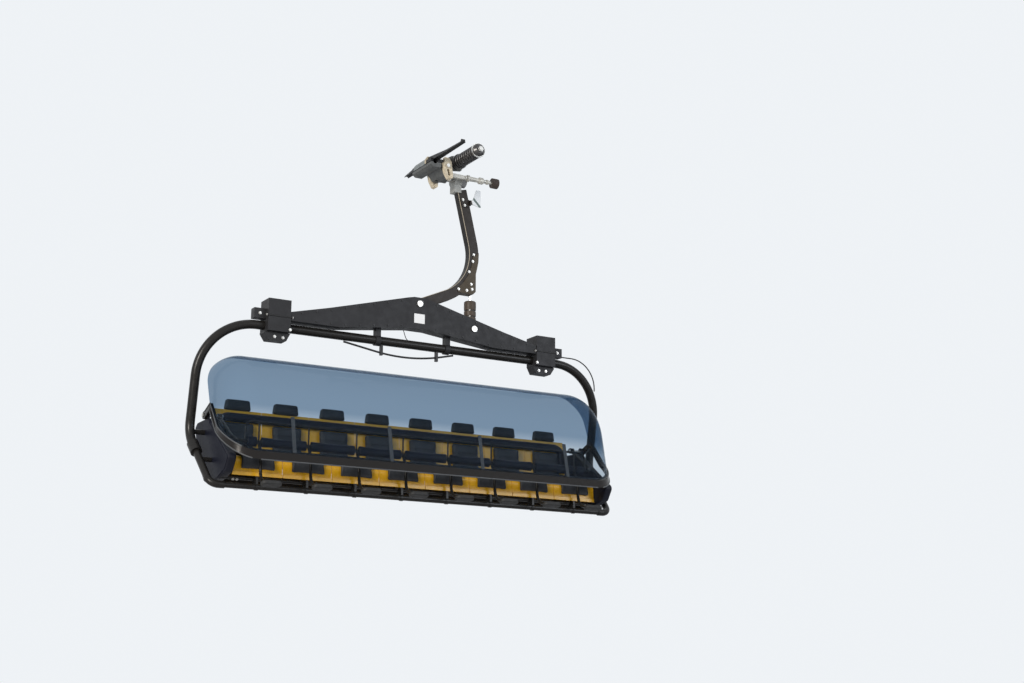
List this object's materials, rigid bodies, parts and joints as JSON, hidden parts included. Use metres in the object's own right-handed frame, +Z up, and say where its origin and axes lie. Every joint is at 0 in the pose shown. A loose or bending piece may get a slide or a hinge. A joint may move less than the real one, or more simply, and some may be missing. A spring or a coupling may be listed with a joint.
{
  "type": "eight-seat bubble chairlift chair",
  "caption": "Wide chairlift chair on a detachable rope grip: bent hanger, yoke, tube hoop, row of padded seats, tinted bubble and a lap bar with footrests.",
  "frame": {"origin": "on the rope's axis in the grip, level with the hanger's shaft", "axes": "+Z up, +Y along the rope towards the chair's back, +X across the chair"},
  "size_m": [4.609, 1.4801, 3.6924],
  "materials": {
    "hoop_black": "satin powder coat",
    "beam_charcoal": "satin sheet metal",
    "hanger_brown": "weathered dark paint",
    "zinc_steel": "zinc plated",
    "grip_steel": "galvanised casting",
    "grip_cream": "pale cast housing",
    "lever_metal": "bare forging",
    "spring_black": "coated spring steel",
    "head_grey": "pale casting",
    "roller_brown": "roller tyre",
    "roller_grey": "roller tyre",
    "chrome_rod": "polished",
    "bellows_rubber": "matt",
    "fin_white": "smooth",
    "plate_white": "blank enamel",
    "shell_yellow": "amber shell",
    "cushion_dark": "outdoor upholstery",
    "headrest_grey": "outdoor upholstery",
    "pad_navy": "outdoor upholstery",
    "cheek_navy": "satin moulding",
    "cable_black": "cable sheath",
    "foot_rubber": "matt",
    "strap_grey": "smooth",
    "rim_dark": "dark moulding",
    "bubble_tint": "smoked acrylic sheet"
  },
  "bodies": {
    "grip": {"fixed_jaw": "grip_steel", "jaw_lugs": "grip_cream", "grip_housing": "grip_steel", "jaw_pin": "zinc_steel", "suspension_shaft": "zinc_steel", "spring_bracket": "grip_steel", "spring_cups": "spring_black", "grip_spring": "spring_black", "spring_rod": "zinc_steel"},
    "jaw": {"moving_jaw": "grip_steel", "coupling_lever": "lever_metal"},
    "coupling_roller": {"coupling_roller": "roller_brown"},
    "running_roller": {"running_roller": "roller_grey"},
    "carrier": {"hanger_arm": "hanger_brown", "hanger_head": "head_grey", "hanger_foot": "hanger_brown", "damper_rod": "chrome_rod", "damper_bellows": "bellows_rubber", "damper_seat": "beam_charcoal", "fin_bracket": "hanger_brown", "guide_fin": "fin_white", "yoke_front_plate": "beam_charcoal", "yoke_rear_plate": "beam_charcoal", "yoke_web": "beam_charcoal", "yoke_pins": "zinc_steel", "number_plate": "plate_white", "link_brackets": "beam_charcoal", "clamp_blocks": "beam_charcoal", "clamp_saddles": "beam_charcoal", "hoop_top_tube": "hoop_black", "hoop_side_tubes": "hoop_black", "leg_sleeves": "hoop_black", "lower_legs": "hoop_black", "cross_tube": "hoop_black", "cables": "cable_black", "cable_clips": "cable_black", "front_rail": "hoop_black", "back_rail": "hoop_black", "seat_beam": "hoop_black", "seat_posts": "hoop_black", "shell_brackets": "hoop_black", "seat_shells": "shell_yellow", "back_cushions": "cushion_dark", "seat_cushions": "cushion_dark", "headrests": "headrest_grey", "top_bolster": "pad_navy", "cheek_plates": "cheek_navy", "cheek_bosses": "hoop_black", "side_pads": "pad_navy", "pivot_pins": "zinc_steel"},
    "bubble": {"bubble_sheet": "bubble_tint", "bubble_rim": "rim_dark", "bubble_straps": "strap_grey", "bubble_hubs": "rim_dark"},
    "restraint": {"lap_bar": "hoop_black", "lap_bar_padding": "pad_navy", "guard_rail": "hoop_black", "bar_struts": "hoop_black", "footrests": "foot_rubber"}
  },
  "joints": [
    {"name": "hanger_swing", "type": "hinge", "parent": "grip", "child": "carrier", "pos_m": [0, 0.04, -0.03], "axis": [1, 0, 0], "range_deg": [-25, 25]},
    {"name": "jaw_opening", "type": "hinge", "parent": "grip", "child": "jaw", "pos_m": [0.13, -0.1, -0.036], "axis": [0, -1, 0], "range_deg": [0, 25], "stiffness_Nm_per_rad": 600, "springref_deg": -28.65},
    {"name": "coupling_roller_turn", "type": "hinge", "parent": "jaw", "child": "coupling_roller", "pos_m": [0.834, -0.101, -0.03], "axis": [1, 0, 0], "continuous": true},
    {"name": "running_roller_turn", "type": "hinge", "parent": "grip", "child": "running_roller", "pos_m": [0.518, 0.04, -0.03], "axis": [1, 0, 0], "continuous": true},
    {"name": "bubble_lift", "type": "hinge", "parent": "carrier", "child": "bubble", "pos_m": [0, 0.2, -2.78], "axis": [-1, 0, 0], "range_deg": [0, 100]},
    {"name": "bar_lift", "type": "hinge", "parent": "carrier", "child": "restraint", "pos_m": [0, 0.2, -2.78], "axis": [-1, 0, 0], "range_deg": [0, 90]}
  ],
  "couplings": [
    {"joint": "bar_lift", "follows": "bubble_lift", "ratio": 0.9}
  ]
}
